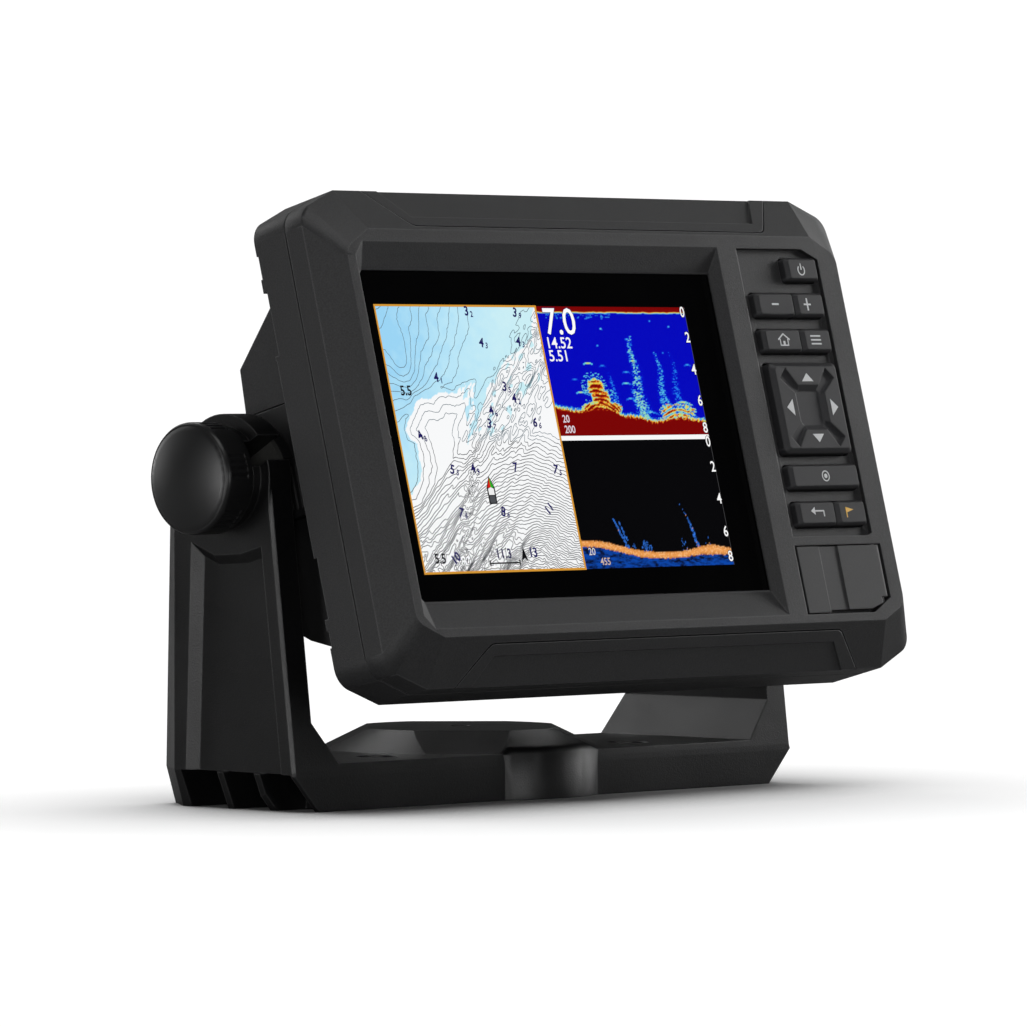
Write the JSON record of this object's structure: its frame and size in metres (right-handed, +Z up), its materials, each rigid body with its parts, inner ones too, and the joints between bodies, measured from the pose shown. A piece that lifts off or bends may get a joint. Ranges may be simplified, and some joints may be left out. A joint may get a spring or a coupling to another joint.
{
  "type": "chartplotter display",
  "caption": "Bail-mounted marine chartplotter: landscape screen with side keypad in a tilting head, held by two clamp knobs on a U-shaped bracket with a round base boss.",
  "frame": {"origin": "centre of the round base boss on the bracket's flat underside", "axes": "+Z up; -Y is the side the screen faces, so +Y points to the back; +X to the right as seen by someone facing the screen"},
  "size_m": [0.2034, 0.1057, 0.146],
  "materials": {
    "case": "fine spark-eroded texture",
    "trim": "fine spark-eroded texture",
    "bracket": "fine spark-eroded texture",
    "cradle": "fine texture",
    "knob": "satin",
    "latch": "satin",
    "keys": "matte with printed symbols",
    "door": "fine texture",
    "glass": "polished",
    "adhesive": "matte",
    "display": "lit display face",
    "frame_metal": "satin",
    "steel": "brushed",
    "brass": "machined",
    "washer": "waxy nylon",
    "seal": "matte",
    "membrane": "silicone",
    "board": "solder mask",
    "antenna": "ceramic patch",
    "flex": "polyimide film",
    "socket": "moulded",
    "contact": "gold plated",
    "vent": "moulded"
  },
  "bodies": {
    "base": {"bail_bracket": "bracket"},
    "head": {"friction_washer_left": "washer", "friction_washer_right": "washer", "threaded_insert_left": "brass", "threaded_insert_right": "brass", "cradle": "cradle", "latch_pin": "steel", "latch_spring": "steel", "front_bezel": "case", "top_trim": "trim", "bottom_trim": "trim", "cover_glass": "glass", "glass_adhesive": "adhesive", "lcd_panel": "display", "lcd_frame": "frame_metal", "main_board": "board", "board_screws": "steel", "shield_can": "frame_metal", "gps_antenna": "antenna", "buzzer": "socket", "lcd_cable": "flex", "keypad_board": "board", "keypad_cable": "flex", "keypad_membrane": "membrane", "door_pin": "steel", "card_socket": "frame_metal", "rear_case": "case", "case_gasket": "seal", "case_screws": "steel", "vent_plug": "vent", "power_socket": "socket", "power_pins": "contact", "sonar_socket": "socket", "sonar_pins": "contact"},
    "knob_left": {"knob_left": "knob", "clamp_stud_left": "steel"},
    "knob_right": {"knob_right": "knob", "clamp_stud_right": "steel"},
    "latch": {"release_latch": "latch"},
    "dpad_pivot": {"dpad_pivot": "steel"},
    "dpad": {"dpad": "keys"},
    "door": {"card_door": "door", "door_seal": "seal"},
    "key_power": {"key_power": "keys"},
    "key_zoom_out": {"key_zoom_out": "keys"},
    "key_zoom_in": {"key_zoom_in": "keys"},
    "key_home": {"key_home": "keys"},
    "key_menu": {"key_menu": "keys"},
    "key_select": {"key_select": "keys"},
    "key_back": {"key_back": "keys"},
    "key_mark": {"key_mark": "keys"}
  },
  "joints": [
    {"name": "head_tilt", "type": "hinge", "parent": "base", "child": "head", "pos_m": [0, -0.0076, 0.0784], "axis": [-1, 0, 0], "range_deg": [-16, 45]},
    {"name": "knob_left_turn", "type": "hinge", "parent": "head", "child": "knob_left", "pos_m": [-0.0882, -0.0076, 0.0784], "axis": [-1, 0, 0], "range_deg": [0, 270]},
    {"name": "knob_right_turn", "type": "hinge", "parent": "head", "child": "knob_right", "pos_m": [0.0882, -0.0076, 0.0784], "axis": [1, 0, 0], "range_deg": [0, 270]},
    {"name": "latch_press", "type": "hinge", "parent": "head", "child": "latch", "pos_m": [-0.0728, -0.01537, 0.07473], "axis": [0, 0.2568, 0.9665], "range_deg": [0, 8]},
    {"name": "door_open", "type": "hinge", "parent": "head", "child": "door", "pos_m": [0.0802, -0.06611, 0.05355], "axis": [0, 0.2568, 0.9665], "range_deg": [0, 88]},
    {"name": "dpad_rock_updown", "type": "hinge", "parent": "head", "child": "dpad_pivot", "pos_m": [0.06525, -0.05402, 0.09359], "axis": [1, 0, 0], "range_deg": [-2.5, 2.5]},
    {"name": "dpad_rock_sideways", "type": "hinge", "parent": "dpad_pivot", "child": "dpad", "pos_m": [0.06525, -0.05402, 0.09359], "axis": [0, 0.2568, 0.9665], "range_deg": [-2.5, 2.5]},
    {"name": "key_power_press", "type": "slide", "parent": "head", "child": "key_power", "axis": [0, 0.9665, -0.2568], "range_m": [0, 0.0006]},
    {"name": "key_zoom_out_press", "type": "slide", "parent": "head", "child": "key_zoom_out", "axis": [0, 0.9665, -0.2568], "range_m": [0, 0.0006]},
    {"name": "key_zoom_in_press", "type": "slide", "parent": "head", "child": "key_zoom_in", "axis": [0, 0.9665, -0.2568], "range_m": [0, 0.0006]},
    {"name": "key_home_press", "type": "slide", "parent": "head", "child": "key_home", "axis": [0, 0.9665, -0.2568], "range_m": [0, 0.0006]},
    {"name": "key_menu_press", "type": "slide", "parent": "head", "child": "key_menu", "axis": [0, 0.9665, -0.2568], "range_m": [0, 0.0006]},
    {"name": "key_select_press", "type": "slide", "parent": "head", "child": "key_select", "axis": [0, 0.9665, -0.2568], "range_m": [0, 0.0006]},
    {"name": "key_back_press", "type": "slide", "parent": "head", "child": "key_back", "axis": [0, 0.9665, -0.2568], "range_m": [0, 0.0006]},
    {"name": "key_mark_press", "type": "slide", "parent": "head", "child": "key_mark", "axis": [0, 0.9665, -0.2568], "range_m": [0, 0.0006]}
  ]
}
